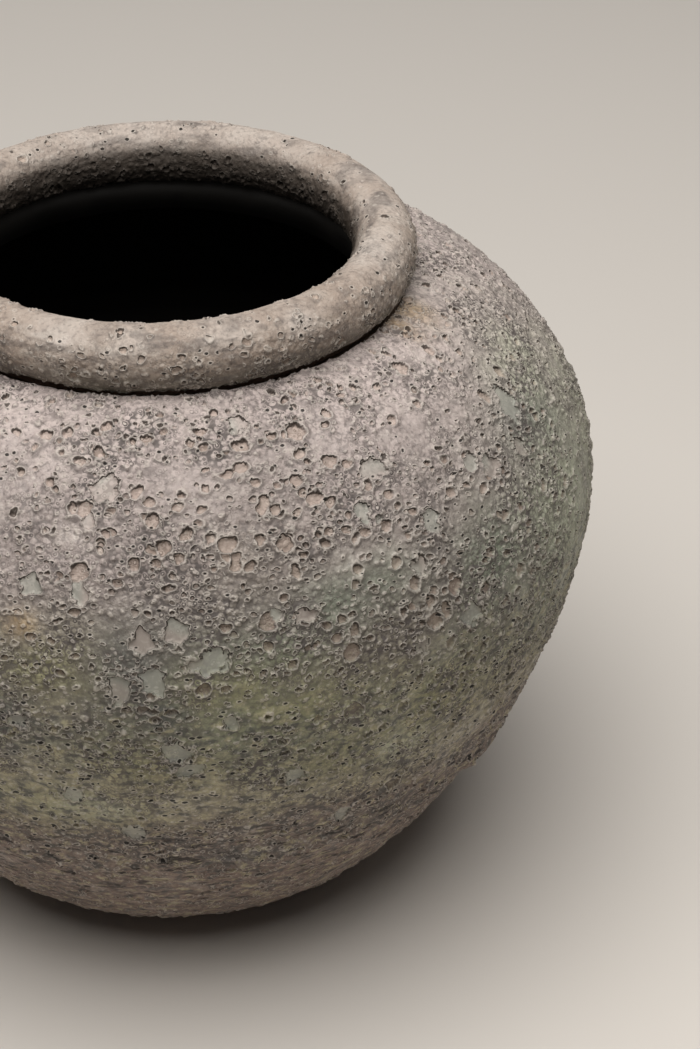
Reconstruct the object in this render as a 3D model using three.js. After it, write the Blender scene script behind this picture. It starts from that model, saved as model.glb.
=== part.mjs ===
// Round stoneware jar with a rolled rim, thrown in sections, luted together and coated with a thick glaze
// whose bubbles burst in the kiln and froze as craters.
// Millimetres, +Z up. The origin is the middle of the foot's underside, where the jar stands.
import * as THREE from "three";

// Foot and floor
const FOOT_RADIUS = 64; // outside of the foot ring where it meets the bowl
const FOOT_HEIGHT = 6;
const FOOT_WIDTH = 11; // across the ring, from its outside to its inside
const FOOT_BEVEL = 1.6; // turned edges of the standing face
const FOOT_SETBACK = 2; // the bowl's underside reaches this far past the foot ring
const FLOOR_THICKNESS = 10;

// Thrown form of the clay wall, measured on its outside
const WALL = 8;
const BELLY_RADIUS = 147.5;
const BELLY_HEIGHT = 154.8;
const SHOULDER_HEIGHT = 227; // where the shoulder lies flat under the neck
const MOUTH_RADIUS = 72.9; // edge of the shoulder's opening
const RISE_ANGLE_DEG = 17; // how steeply the bowl leaves its underside
const RISE_PULL = 39.7; // how far the bowl follows that first direction
const LOWER_PULL = 47.7; // how far the belly stays upright below its widest line
const UPPER_PULL = 31.9; // and above it
const SHOULDER_PULL = 44.5; // how far the shoulder stays flat

// Neck and rolled rim
const NECK_THICKNESS = 9;
const RIM_TUBE_RADIUS = 8.7; // clay roll, before its glaze
const RIM_LIFT = 2.7; // the roll hangs this far above the shoulder
const RIM_SEAT = 3.4; // the roll's groove reaches to this far below its middle

// Belly joint: a V key near the outside, and a bevel inside that a thin coil fills flush
const KEY_INSET = 1.8;
const KEY_WIDTH = 2.8;
const KEY_DEPTH = 2;
const SEAM_LAND = 0.4; // flat left between the key and the bevel
const SEAM_BEVEL_HEIGHT = 3;

// Glaze coats
const BODY_GLAZE = 2.2;
const LOWER_GLAZE = 1;
const RIM_GLAZE = 1.85;
const LINER_GLAZE = 0.8;
const GLAZE_EDGE_HEIGHT = 72; // where the thick coat ran down to and stopped
const GLAZE_ROLL = 1.3; // extra thickness of that stopped edge
const GLAZE_ROLL_REACH = 14; // how far up the wall the roll thins out
const GLAZE_UNDERCUT = 3.5; // the body coat ends this far in under the rim's outside
const FOOT_MARGIN = 5; // bare clay left above the foot
const RIM_GLAZE_END_DEG = 55; // the rim's coat ends this far below the roll's middle, both sides

// Largest burst bubbles of the thick coat, at most one in each cell of its surface
const CRATER_RADIUS_MIN = 2.2; // at the lip
const CRATER_RADIUS_MAX = 4.6;
const CRATER_DEPTH = 1.2; // floor below the coat's surface
const CRATER_LIP = 0.6; // lip above that surface
const CRATER_WALL = 0.8; // how far the wall slopes in on its way down to the floor
const CRATER_LAND = 1.6; // coat left between a lip and the edge of its cell
const CRATER_SIDES = 6;
const CRATER_SHARE = 0.5; // part of the cells that hold a crater
const CRATER_SEED = 5;

// Clearances
const SEAM_GAP = 0.3; // slip between two clay pieces
const BOND_GAP = 0.3; // between a coat and the clay under it

// Roundness of the turned solids
const SEGMENTS = 40;
const LOWER_STEPS = 7;
const UPPER_STEPS = 6;
const RIM_STEPS = 8;

// Clay outline: a curve from the underside's edge to the widest line, and one from there to the mouth
const baseHeight = FOOT_HEIGHT + SEAM_GAP;
const rise = THREE.MathUtils.degToRad(RISE_ANGLE_DEG);
const baseEdge = new THREE.Vector2(FOOT_RADIUS + FOOT_SETBACK, baseHeight);
const belly = new THREE.Vector2(BELLY_RADIUS, BELLY_HEIGHT);
const mouth = new THREE.Vector2(MOUTH_RADIUS, SHOULDER_HEIGHT);
const lowerCurve = new THREE.CubicBezierCurve(
  baseEdge,
  new THREE.Vector2(Math.cos(rise), Math.sin(rise)).multiplyScalar(RISE_PULL).add(baseEdge),
  new THREE.Vector2(BELLY_RADIUS, BELLY_HEIGHT - LOWER_PULL),
  belly,
);
const upperCurve = new THREE.CubicBezierCurve(
  belly,
  new THREE.Vector2(BELLY_RADIUS, BELLY_HEIGHT + UPPER_PULL),
  new THREE.Vector2(MOUTH_RADIUS + SHOULDER_PULL, SHOULDER_HEIGHT),
  mouth,
);

// A station runs from 0 at the underside's edge through 1 at the widest line to 2 at the mouth.
const BASE = 0;
const SEAM = 1;
const MOUTH = 2;

// The point at a station, moved outwards by the given distance, or inwards where it is negative.
function wallPoint(station, outwards) {
  const curve = station <= SEAM ? lowerCurve : upperCurve;
  const t = station <= SEAM ? station : station - SEAM;
  const along = curve.getTangent(t);
  return curve.getPoint(t).add(new THREE.Vector2(along.y, -along.x).multiplyScalar(outwards));
}

const outsideHeight = (station) => wallPoint(station, 0).y;
const outsideRadius = (station) => wallPoint(station, 0).x;

// The station between two others where a measure of the wall reaches the wanted value.
function stationWhere(measure, wanted, low, high) {
  const rising = measure(high) > measure(low);
  for (let halving = 0; halving < 40; halving += 1) {
    const middle = (low + high) / 2;
    if (measure(middle) < wanted === rising) low = middle;
    else high = middle;
  }
  return (low + high) / 2;
}

const gridStations = [];
for (let i = 0; i <= LOWER_STEPS; i += 1) gridStations.push(i / LOWER_STEPS);
for (let i = 1; i <= UPPER_STEPS; i += 1) gridStations.push(SEAM + i / UPPER_STEPS);

// Stations from one to another, with the shared grid between them, so that neighbouring coats stay parallel.
function stationsBetween(first, last) {
  const clear = 0.25 / LOWER_STEPS;
  const inside = gridStations.filter((s) => s > first + clear && s < last - clear);
  return [first, ...inside, last];
}

const point = (radius, height) => new THREE.Vector2(radius, height);
const closed = (points) => [...points, points[0].clone()];

// Materials
const surface = (color, roughness) => new THREE.MeshStandardMaterial({ color, roughness, metalness: 0 });
const rawClay = surface(0x7a6656, 0.95);
const craterGlaze = surface(0x9c948b, 0.82);
const lowerGlaze = surface(0x7d7168, 0.8);
const darkLiner = surface(0x14120f, 0.6);

// A piece whose geometry was turned about the Y axis, stood up on Z
function stoodUp(name, geometry, material) {
  const mesh = new THREE.Mesh(geometry, material);
  mesh.name = name;
  mesh.rotation.x = Math.PI / 2;
  return mesh;
}

// A turned piece, from a half section that runs up its outside, and is closed or starts on the axis
function turned(name, section, material) {
  return stoodUp(name, new THREE.LatheGeometry(section, SEGMENTS), material);
}

// Foot ring: a coil luted under the bowl and turned true
function footRing() {
  const inside = FOOT_RADIUS - FOOT_WIDTH;
  const section = closed([
    point(inside + FOOT_BEVEL, 0),
    point(FOOT_RADIUS - FOOT_BEVEL, 0),
    point(FOOT_RADIUS, FOOT_BEVEL),
    point(FOOT_RADIUS, FOOT_HEIGHT),
    point(inside, FOOT_HEIGHT),
    point(inside, FOOT_BEVEL),
  ]);
  return turned("foot_ring", section, rawClay);
}

// The station where the inside of the wall, under a coat of the given depth, runs into the floor
const floorHeight = baseHeight + FLOOR_THICKNESS;
const floorEdge = (depth) =>
  stationWhere((s) => wallPoint(s, -WALL - depth).y, floorHeight + depth, BASE, SEAM);
const insideStations = stationsBetween(floorEdge(0), SEAM).slice(1, -1).reverse();

// Inside of the lower wall at that depth, from the seam down to the floor and along it to the axis
function lowerInside(depth) {
  const wall = [...insideStations, floorEdge(depth)];
  return [...wall.map((s) => wallPoint(s, -WALL - depth)), point(0, floorHeight + depth)];
}

const keyMiddle = KEY_INSET + KEY_WIDTH / 2;
const keyEnd = KEY_INSET + KEY_WIDTH;
const bevelDepth = WALL - keyEnd - SEAM_LAND;

// Mating edge of the belly joint, from outside to inside, on the lower piece (-1) or the upper one (1)
function seamEdge(side) {
  const height = BELLY_HEIGHT + (side * SEAM_GAP) / 2;
  return [
    point(BELLY_RADIUS, height),
    point(BELLY_RADIUS - KEY_INSET, height),
    point(BELLY_RADIUS - keyMiddle, height - KEY_DEPTH),
    point(BELLY_RADIUS - keyEnd, height),
    point(BELLY_RADIUS - keyEnd - SEAM_LAND, height),
    point(BELLY_RADIUS - WALL, height + side * SEAM_BEVEL_HEIGHT),
  ];
}

// Lower bowl: floor and wall thrown in one, with the key's groove along its top edge
function lowerBowl() {
  const outside = stationsBetween(BASE, SEAM).slice(0, -1);
  const section = [
    point(0, baseHeight),
    ...outside.map((s) => wallPoint(s, 0)),
    ...seamEdge(-1),
    ...lowerInside(0),
  ];
  return turned("lower_bowl", section, rawClay);
}

// Seam coil: pressed into the bevels inside the belly joint and smoothed flush with the wall
function seamCoil() {
  const flush = BELLY_RADIUS - WALL;
  const slope = Math.hypot(bevelDepth, SEAM_BEVEL_HEIGHT);
  const shallower = (SEAM_GAP * slope) / SEAM_BEVEL_HEIGHT;
  const shorter = (SEAM_GAP * slope) / bevelDepth;
  const half = SEAM_BEVEL_HEIGHT + SEAM_GAP / 2 - shorter;
  const section = closed([
    point(flush, BELLY_HEIGHT - half),
    point(flush + bevelDepth - shallower, BELLY_HEIGHT),
    point(flush, BELLY_HEIGHT + half),
  ]);
  return turned("seam_coil", section, rawClay);
}

// Upper bowl: thrown upside down, turned over and luted on, with the key along its lower edge
function upperBowl() {
  const rising = stationsBetween(SEAM, MOUTH).slice(1);
  const falling = [...rising].reverse();
  const section = closed([
    ...seamEdge(1).reverse(),
    ...rising.map((s) => wallPoint(s, 0)),
    ...falling.map((s) => wallPoint(s, -WALL)),
  ]);
  return turned("upper_bowl", section, rawClay);
}

// Rolled rim, over a neck ring that stands on the shoulder
const rimRadius = MOUTH_RADIUS + NECK_THICKNESS / 2;
const rimHeight = SHOULDER_HEIGHT + RIM_LIFT + RIM_TUBE_RADIUS;
const grooveTop = rimHeight - RIM_SEAT;
const rimCoat = RIM_TUBE_RADIUS + BOND_GAP + RIM_GLAZE;
const rimGlazeEnd = THREE.MathUtils.degToRad(RIM_GLAZE_END_DEG);

// A point on the roll, by its turn up from the outside, at a distance from the roll's middle
const rollPoint = (turn, distance) =>
  point(rimRadius + distance * Math.cos(turn), rimHeight + distance * Math.sin(turn));

// Points round the roll, from below its outside over the top to below its inside
function rollArc(drop, distance) {
  const sweep = Math.PI + 2 * drop;
  const turns = Array.from({ length: RIM_STEPS + 1 }, (_, i) => (sweep * i) / RIM_STEPS - drop);
  return turns.map((turn) => rollPoint(turn, distance));
}

function neckRing() {
  const foot = SHOULDER_HEIGHT + SEAM_GAP;
  const top = grooveTop - SEAM_GAP;
  const outside = MOUTH_RADIUS + NECK_THICKNESS;
  const section = closed([
    point(MOUTH_RADIUS, foot),
    point(outside, foot),
    point(outside, top),
    point(MOUTH_RADIUS, top),
  ]);
  return turned("neck_ring", section, rawClay);
}

function rimRoll() {
  const grooveHalf = NECK_THICKNESS / 2 + SEAM_GAP;
  const drop = Math.acos(grooveHalf / RIM_TUBE_RADIUS);
  const section = closed([
    point(rimRadius - grooveHalf, grooveTop),
    point(rimRadius + grooveHalf, grooveTop),
    ...rollArc(drop, RIM_TUBE_RADIUS),
  ]);
  return turned("rim_roll", section, rawClay);
}

// Thick cratered coat over the rim, open below where the roll meets the neck
function rimGlaze() {
  const section = closed([
    ...rollArc(rimGlazeEnd, rimCoat),
    ...rollArc(rimGlazeEnd, RIM_TUBE_RADIUS + BOND_GAP).reverse(),
  ]);
  return turned("rim_glaze", section, craterGlaze);
}

const edgeStation = stationWhere(outsideHeight, GLAZE_EDGE_HEIGHT, BASE, SEAM);
const rollStation = stationWhere(outsideHeight, GLAZE_EDGE_HEIGHT + GLAZE_ROLL_REACH, BASE, SEAM);
const footStation = stationWhere(outsideHeight, baseHeight + FOOT_MARGIN, BASE, SEAM);
const undercutStation = stationWhere(outsideRadius, rimRadius + rimCoat - GLAZE_UNDERCUT, SEAM, MOUTH);

const chance = (low, high) => THREE.MathUtils.lerp(low, high, THREE.MathUtils.seededRandom());
const wholeCell = ([a, b, c, d]) => [[a, b, c], [a, c, d]];

// Faces of one flat cell of the coat, whose corners are places in a list of points. By chance the cell is
// opened round a crater: coat up to a raised lip, a wall down from it, and a flat floor.
function cellWithCrater(points, corners) {
  const [a, b, c, d] = corners.map((k) => points[k]);
  const right = b.clone().sub(a).normalize();
  const outwards = d.clone().sub(a).cross(right).negate().normalize();
  const up = outwards.clone().cross(right);
  const middle = a.clone().add(b).add(c).add(d).divideScalar(4);
  const onCoat = new THREE.Matrix4().makeBasis(right, up, outwards).setPosition(middle);
  const offCoat = onCoat.clone().invert();
  const cell = [a, b, c, d].map((corner) => corner.clone().applyMatrix4(offCoat));

  const freeWidth = Math.min(cell[1].x, cell[2].x) - CRATER_LAND;
  const freeHeight = cell[2].y - CRATER_LAND;
  const radius = Math.min(chance(CRATER_RADIUS_MIN, CRATER_RADIUS_MAX), freeWidth, freeHeight);
  const centre = point(chance(-1, 1) * (freeWidth - radius), chance(-1, 1) * (freeHeight - radius));
  const spin = chance(0, Math.PI);
  if (chance(0, 1) > CRATER_SHARE || radius < CRATER_RADIUS_MIN) return wholeCell(corners);

  const sides = Array.from({ length: CRATER_SIDES }, (_, i) => i);
  const ring = (size, height) =>
    sides.map((i) => {
      const turn = spin + (2 * Math.PI * i) / CRATER_SIDES;
      return new THREE.Vector3(centre.x + size * Math.cos(turn), centre.y + size * Math.sin(turn), height);
    });
  const added = (place) => points.push(place.clone().applyMatrix4(onCoat)) - 1;
  const lipRing = ring(radius, CRATER_LIP);
  const lip = lipRing.map(added);
  const floor = ring(radius - CRATER_WALL, -CRATER_DEPTH).map(added);
  const around = [...corners, ...lip];
  const coat = THREE.ShapeUtils.triangulateShape(cell, [lipRing]).map((face) => face.map((k) => around[k]));
  const wall = sides.flatMap((i) => {
    const next = (i + 1) % CRATER_SIDES;
    return wholeCell([lip[i], lip[next], floor[next], floor[i]]);
  });
  const bottom = sides.slice(1, -1).map((i) => [floor[0], floor[i], floor[i + 1]]);
  return [...coat, ...wall, ...bottom];
}

// Thick coat over the belly and shoulder, with the roll where it stopped running. Its closed section goes up
// its outside and down its back, and is turned cell by cell. Cells between roll and rim may hold craters.
function bodyGlaze() {
  const stations = stationsBetween(rollStation, undercutStation);
  const coatDepth = BOND_GAP + BODY_GLAZE;
  const section = [
    wallPoint(edgeStation, coatDepth),
    wallPoint((edgeStation + rollStation) / 2, coatDepth + GLAZE_ROLL),
    ...stations.map((s) => wallPoint(s, coatDepth)),
    ...[edgeStation, ...stations].reverse().map((s) => wallPoint(s, BOND_GAP)),
  ];
  const firstCratered = 2;
  const lastCratered = stations.length - 1;
  const cellTurn = (2 * Math.PI) / SEGMENTS;
  const columns = Array.from({ length: SEGMENTS }, (_, i) => i);
  const points = section.flatMap(({ x, y }) =>
    columns.map((i) => new THREE.Vector3().setFromCylindricalCoords(x, i * cellTurn, y)),
  );
  THREE.MathUtils.seededRandom(CRATER_SEED);
  const faces = section.flatMap((_, row) => {
    const below = row * SEGMENTS;
    const above = ((row + 1) % section.length) * SEGMENTS;
    const cratered = row >= firstCratered && row <= lastCratered;
    return columns.flatMap((i) => {
      const next = (i + 1) % SEGMENTS;
      const corners = [below + i, below + next, above + next, above + i];
      return cratered ? cellWithCrater(points, corners) : wholeCell(corners);
    });
  });
  const geometry = new THREE.BufferGeometry().setFromPoints(points).setIndex(faces.flat());
  geometry.computeVertexNormals();
  return stoodUp("body_glaze", geometry, craterGlaze);
}

// Thin coat from the stopped edge down to the bare clay above the foot
function lowerCoat() {
  const top = stationWhere(outsideHeight, GLAZE_EDGE_HEIGHT - BOND_GAP, BASE, SEAM);
  const stations = stationsBetween(footStation, top);
  const section = closed([
    ...stations.map((s) => wallPoint(s, BOND_GAP + LOWER_GLAZE)),
    ...[...stations].reverse().map((s) => wallPoint(s, BOND_GAP)),
  ]);
  return turned("lower_glaze", section, lowerGlaze);
}

// Dark liner over the whole inside, up past the mouth to the rim's coat
function linerGlaze() {
  const top = rimHeight - rimCoat * Math.sin(rimGlazeEnd) - SEAM_GAP;
  const inner = BOND_GAP + LINER_GLAZE;
  const shoulder = stationsBetween(SEAM, MOUTH).slice(0, -1).reverse();
  const surfaceAt = (depth) => [
    point(MOUTH_RADIUS - depth, top),
    point(MOUTH_RADIUS - depth, SHOULDER_HEIGHT - WALL - depth),
    ...shoulder.map((s) => wallPoint(s, -WALL - depth)),
    ...lowerInside(depth),
  ];
  const section = [...surfaceAt(BOND_GAP).reverse(), ...surfaceAt(inner)];
  return turned("liner_glaze", section, darkLiner);
}

const jar = new THREE.Group();
jar.add(footRing(), lowerBowl(), seamCoil(), upperBowl(), neckRing(), rimRoll());
jar.add(lowerCoat(), bodyGlaze(), rimGlaze(), linerGlaze());

export default jar;
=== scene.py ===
# %% [markdown]
# # A round stoneware jar with a cratered glaze
# The jar is thrown clay under a thick glaze that bubbled in the kiln. Its bubbles burst and froze as
# craters with raised lips, between beads, smooth pools and pinholes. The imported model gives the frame,
# and each coat of glaze is made again here in fine detail, in the same place.

# %% Load the frame
import math
from functools import reduce

import bmesh
import bpy
import numpy as np
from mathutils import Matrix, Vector


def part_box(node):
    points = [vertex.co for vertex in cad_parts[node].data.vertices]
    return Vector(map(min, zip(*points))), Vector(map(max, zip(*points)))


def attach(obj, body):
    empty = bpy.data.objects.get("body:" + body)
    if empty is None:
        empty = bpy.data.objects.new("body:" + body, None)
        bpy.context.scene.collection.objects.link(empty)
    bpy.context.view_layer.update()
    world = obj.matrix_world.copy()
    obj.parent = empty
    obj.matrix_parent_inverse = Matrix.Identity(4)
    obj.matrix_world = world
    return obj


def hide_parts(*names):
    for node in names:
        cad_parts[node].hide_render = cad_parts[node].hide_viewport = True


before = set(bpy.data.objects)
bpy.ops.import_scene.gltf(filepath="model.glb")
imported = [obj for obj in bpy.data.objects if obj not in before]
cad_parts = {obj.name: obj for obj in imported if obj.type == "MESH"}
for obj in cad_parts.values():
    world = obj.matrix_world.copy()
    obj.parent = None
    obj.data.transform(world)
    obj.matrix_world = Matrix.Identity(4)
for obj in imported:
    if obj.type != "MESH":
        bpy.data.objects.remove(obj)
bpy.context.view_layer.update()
print("Nodes in the frame:", ", ".join(sorted(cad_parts)))

# %% [markdown]
# ## Camera
# The camera comes first, because every later look is judged through it. A long lens looks down on the
# shoulder, and the jar is cut off by the left edge. The whole image is 700 by 1049 pixels, and the
# sensor's long side is its height.

# %% Set up the camera
IMAGE_WIDTH_PX = 700
IMAGE_HEIGHT_PX = 1049
FOCAL_LENGTH_PX = 2800
SENSOR_MM = 36
CAMERA_PLACE = (0, -0.8529, 0.6669)
CAMERA_PITCH_DOWN = 0.5656
CAMERA_YAW_RIGHT = 0.0763

camera_data = bpy.data.cameras.new("camera")
camera_data.sensor_width = SENSOR_MM
camera_data.lens = FOCAL_LENGTH_PX / IMAGE_HEIGHT_PX * SENSOR_MM
camera = bpy.data.objects.new("camera", camera_data)
camera.location = CAMERA_PLACE
camera.rotation_euler = (math.pi / 2 - CAMERA_PITCH_DOWN, 0, -CAMERA_YAW_RIGHT)
bpy.context.collection.objects.link(camera)
bpy.context.scene.camera = camera
print(f"Camera lens: {camera_data.lens:.1f} mm")

# %% [markdown]
# ## Outline of the clay
# The wall is a bowl set upside down on another, so its outline is two smooth curves that meet at the
# widest line. Each is a Bezier curve. Its ends come from the frame, and four pulls say how long it keeps
# its first direction. Sizes below are in millimetres, because a glaze is easier to think of that way.

# %% Measure the frame and draw the outline
METRE = 1000
RISE_ANGLE = math.radians(17)
RISE_PULL = 39.7
LOWER_PULL = 47.7
UPPER_PULL = 31.9
SHOULDER_PULL = 44.5
FOOT_SETBACK = 2
MOUTH_RADIUS = 72.9
OUTLINE_SAMPLES = 600


def node_box(node):
    """A node's lowest and highest corners in millimetres."""
    low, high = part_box(node)
    return np.array(low) * METRE, np.array(high) * METRE


def bezier(a, b, c, d):
    """Points of a cubic Bezier curve."""
    t = np.linspace(0, 1, OUTLINE_SAMPLES)[:, None]
    return (1 - t) ** 3 * a + 3 * t * (1 - t) ** 2 * b + 3 * t**2 * (1 - t) * c + t**3 * d


bowl_low, bowl_high = node_box("lower_bowl")
seam_low, seam_high = node_box("seam_coil")
foot_high = node_box("foot_ring")[1]
rim_high = node_box("rim_glaze")[1]
edge_height = node_box("body_glaze")[0][2]

belly = np.array([bowl_high[0], (seam_low[2] + seam_high[2]) / 2])
base = np.array([foot_high[0] + FOOT_SETBACK, bowl_low[2]])
mouth = np.array([MOUTH_RADIUS, node_box("upper_bowl")[1][2]])
rise_end = base + RISE_PULL * np.array([math.cos(RISE_ANGLE), math.sin(RISE_ANGLE)])
lower_curve = bezier(base, rise_end, belly - [0, LOWER_PULL], belly)
upper_curve = bezier(belly, belly + [0, UPPER_PULL], mouth + [SHOULDER_PULL, 0], mouth)
outline = np.vstack([lower_curve, upper_curve[1:]])
tangents = np.gradient(outline, axis=0)
tangents /= np.linalg.norm(tangents, axis=1, keepdims=True)
outward = np.stack([tangents[:, 1], -tangents[:, 0]], axis=1)
wall_length = np.concatenate([[0], np.cumsum(np.linalg.norm(np.diff(outline, axis=0), axis=1))])


def up_the_wall(places):
    """How far up along the wall places lie, each given by its radius and height."""
    return np.array([wall_length[np.argmin(np.hypot(*(outline - place).T))] for place in places])


print(f"Widest: {belly[0]:.1f} mm at {belly[1]:.1f} mm, mouth: {mouth[0]:.1f} mm at {mouth[1]:.1f} mm")

# %% [markdown]
# ## Turning a section
# Everything here was turned on a wheel, so one helper turns a half section about the upright axis. A
# Screw modifier could do that too, but rows and columns that are known make it easy to cut bands and to
# store values later. Points that fall together on the axis are merged, so that a floor closes without a
# hole.

# %% Helpers for turned meshes
ON_AXIS = 1e-7
MERGE_REACH = 1e-6


def evenly(points, spacing):
    """The same line, with points an even distance apart."""
    steps = np.linalg.norm(np.diff(points, axis=0), axis=1)
    along = np.concatenate([[0], np.cumsum(steps)])
    wanted = np.linspace(0, along[-1], max(2, round(along[-1] / spacing)))
    return np.stack([np.interp(wanted, along, points[:, k]) for k in range(points.shape[1])], axis=1)


def grid_points(section, columns):
    """Rows of points from turning a section, as an array of rows by columns by 3."""
    turn = np.linspace(0, 2 * math.pi, columns, endpoint=False)
    radius, height = section[:, 0:1], section[:, 1:2]
    return np.stack([radius * np.cos(turn), radius * np.sin(turn), height + 0 * turn], axis=2)


def grid_faces(rows, columns, closed):
    """Quads between neighbouring rows, and from the last row to the first where the section is closed."""
    row = np.arange(rows if closed else rows - 1)[:, None]
    column = np.arange(columns)[None, :]
    beside = (column + 1) % columns
    here, above = row * columns, (row + 1) % rows * columns
    corners = (here + column, here + beside, above + beside, above + column)
    return np.stack(np.broadcast_arrays(*corners), axis=2).reshape(-1, 4)


def mesh_object(name, points_mm, faces):
    """An object at the origin with smooth faces, from points in millimetres."""
    mesh = bpy.data.meshes.new(name)
    mesh.from_pydata((points_mm / METRE).reshape(-1, 3).tolist(), [], faces.tolist())
    mesh.polygons.foreach_set("use_smooth", np.ones(len(mesh.polygons), dtype=bool))
    mesh.update()
    made = bpy.data.objects.new(name, mesh)
    bpy.context.collection.objects.link(made)
    return made


def close_poles(mesh):
    """Merges the points that lie together on the axis."""
    shape = bmesh.new()
    shape.from_mesh(mesh)
    on_axis = [point for point in shape.verts if math.hypot(point.co.x, point.co.y) < ON_AXIS]
    bmesh.ops.remove_doubles(shape, verts=on_axis, dist=MERGE_REACH)
    shape.to_mesh(mesh)
    shape.free()


def set_in_frame(piece, node):
    """Lets a piece ride with the jar in place of a node of the frame and prints its triangle count."""
    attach(piece, "root")
    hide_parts(node)
    print(piece.name, "has", 2 * len(piece.data.polygons), "triangles")


print("Turning helpers are ready")

# %% [markdown]
# ## Nodes in plain words
# Relief and colour use the same recipe: the relief as a Geometry Nodes tree, and the colour as a shader.
# Both kinds of tree share their maths and texture nodes, so a few helpers that work in both keep the two
# in step.

# %% Helpers for sums in node trees
def feed(tree, socket, value):
    """Joins an output to an input, or sets the input's value."""
    if isinstance(value, bpy.types.NodeSocket):
        tree.links.new(value, socket)
    else:
        socket.default_value = value


def calc(tree, operation, *values):
    """One sum, as a Math node."""
    node = tree.nodes.new("ShaderNodeMath")
    node.operation = operation
    for socket, value in zip(node.inputs, values):
        feed(tree, socket, value)
    return node.outputs[0]


def total(tree, *values):
    """All the values added up."""
    return reduce(lambda left, right: calc(tree, "ADD", left, right), values)


def times(tree, *values):
    """All the values multiplied."""
    return reduce(lambda left, right: calc(tree, "MULTIPLY", left, right), values)


def without(tree, share):
    """What a share leaves of the whole."""
    return calc(tree, "SUBTRACT", 1.0, share)


def apart(tree, one, other):
    """How far apart two values are."""
    return calc(tree, "ABSOLUTE", calc(tree, "SUBTRACT", one, other))


def fade(tree, value, start, end, first=0.0, last=1.0):
    """Goes smoothly from first to last while the value goes from start to end."""
    node = tree.nodes.new("ShaderNodeMapRange")
    node.interpolation_type = "SMOOTHSTEP"
    given = {"Value": value, "From Min": start, "From Max": end, "To Min": first, "To Max": last}
    for name, amount in given.items():
        feed(tree, node.inputs[name], amount)
    return node.outputs["Result"]


def parts_of(tree, vector):
    """The three numbers of a vector or a colour."""
    node = tree.nodes.new("ShaderNodeSeparateXYZ")
    feed(tree, node.inputs[0], vector)
    return node.outputs


def shifted(tree, vector, scale, shift):
    """A vector times a scale, moved by a shift."""
    node = tree.nodes.new("ShaderNodeVectorMath")
    node.operation = "MULTIPLY_ADD"
    for socket, value in zip(node.inputs, (vector, scale, shift)):
        feed(tree, socket, value)
    return node.outputs[0]


def millimetres(tree, position):
    """A position in metres as a place in millimetres."""
    return shifted(tree, position, (METRE, METRE, METRE), (0, 0, 0))


def from_axis(tree, place):
    """The distance of a place from the upright axis."""
    x, y, _ = parts_of(tree, place)
    return calc(tree, "SQRT", calc(tree, "MULTIPLY_ADD", x, x, times(tree, y, y)))


print("Helpers for sums are ready")

# %% Helpers for textures in node trees
LEAST_DISTANCE = 0.01
LEVEL = (1, 1, 5)


def noise(tree, place, size, detail=2, seed=0, squeeze=(1, 1, 1)):
    """Cloudy noise, squeezed by axis, with blobs of about a size in millimetres: a value and a colour."""
    node = tree.nodes.new("ShaderNodeTexNoise")
    feed(tree, node.inputs["Vector"], shifted(tree, place, [s / size for s in squeeze], (seed, seed, seed)))
    node.inputs["Scale"].default_value = 1
    node.inputs["Detail"].default_value = detail
    return node.outputs[0], node.outputs[1]


def waves(tree, place, **settings):
    """Cloudy noise that goes up and down round 0."""
    return calc(tree, "SUBTRACT", noise(tree, place, **settings)[0], 0.5)


def bent(tree, place, size, amount, seed):
    """A place pushed about by noise, so that round things come out crooked."""
    return shifted(tree, noise(tree, place, size, seed=seed)[1], (amount, amount, amount), place)


def cells(tree, place, spacing, seed, squeeze=(1, 1, 1)):
    """The nearest of many scattered points: its distance in millimetres, its three random numbers, and how far
    straight above it the place lies, as a share of the distance."""
    node = tree.nodes.new("ShaderNodeTexVoronoi")
    scaled = shifted(tree, place, [s / spacing for s in squeeze], (seed, seed, seed))
    feed(tree, node.inputs["Vector"], scaled)
    node.inputs["Scale"].default_value = 1
    distance = node.outputs["Distance"]
    above = calc(tree, "SUBTRACT", parts_of(tree, scaled)[2], parts_of(tree, node.outputs["Position"])[2])
    rise = calc(tree, "DIVIDE", above, calc(tree, "MAXIMUM", distance, LEAST_DISTANCE))
    return times(tree, distance, spacing), parts_of(tree, node.outputs["Color"]), rise


print("Helpers for textures are ready")

# %% [markdown]
# ## The glaze recipe
# A crater is a burst blister: a low mound, a thin lip, a steep wall and a flat floor. Its upper wall has
# a dark crescent of painted shadow, and the lower foot of its mound a painted shade. Craters could be
# modelled one by one, but there are thousands, so scattered points each carry one with its own size, and
# some carry none. Points that lie off the surface cut smaller circles, so sizes vary as real ones do. The
# ground between is pebbled. A slow noise makes calm places, where the glaze flowed smooth again. The crust
# thins out downwards, and the thick coat stops in a wavering roll over a thin, streaked coat.

# %% Craters of the recipe
BIG_CRATER = {"spacing": 5.6, "radius": 1.55, "lip": 0.42, "mound": 1.7, "seed": 3.1}
SMALL_CRATER = {"spacing": 3.1, "radius": 0.88, "lip": 0.34, "mound": 1.0, "seed": 17.7}
SMALLEST = 0.55
SIZE_SPREAD = 0.75
SMALL_SHARE = 0.85
SMALL_DEPTH = 0.55
LARGE_HOLLOW = {"lip": 0.5, "mound": 2.2}
CRATER_FLATNESS = 1.35
CRATER_BEND = {"size": 5.0, "amount": 3.2, "seed": 5}
BIG_CRATERS_FADE = (175, 95)
RAGGED_NOISE = {"size": 3.6, "detail": 2, "seed": 2}
RAGGEDNESS = 4.0


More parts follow.
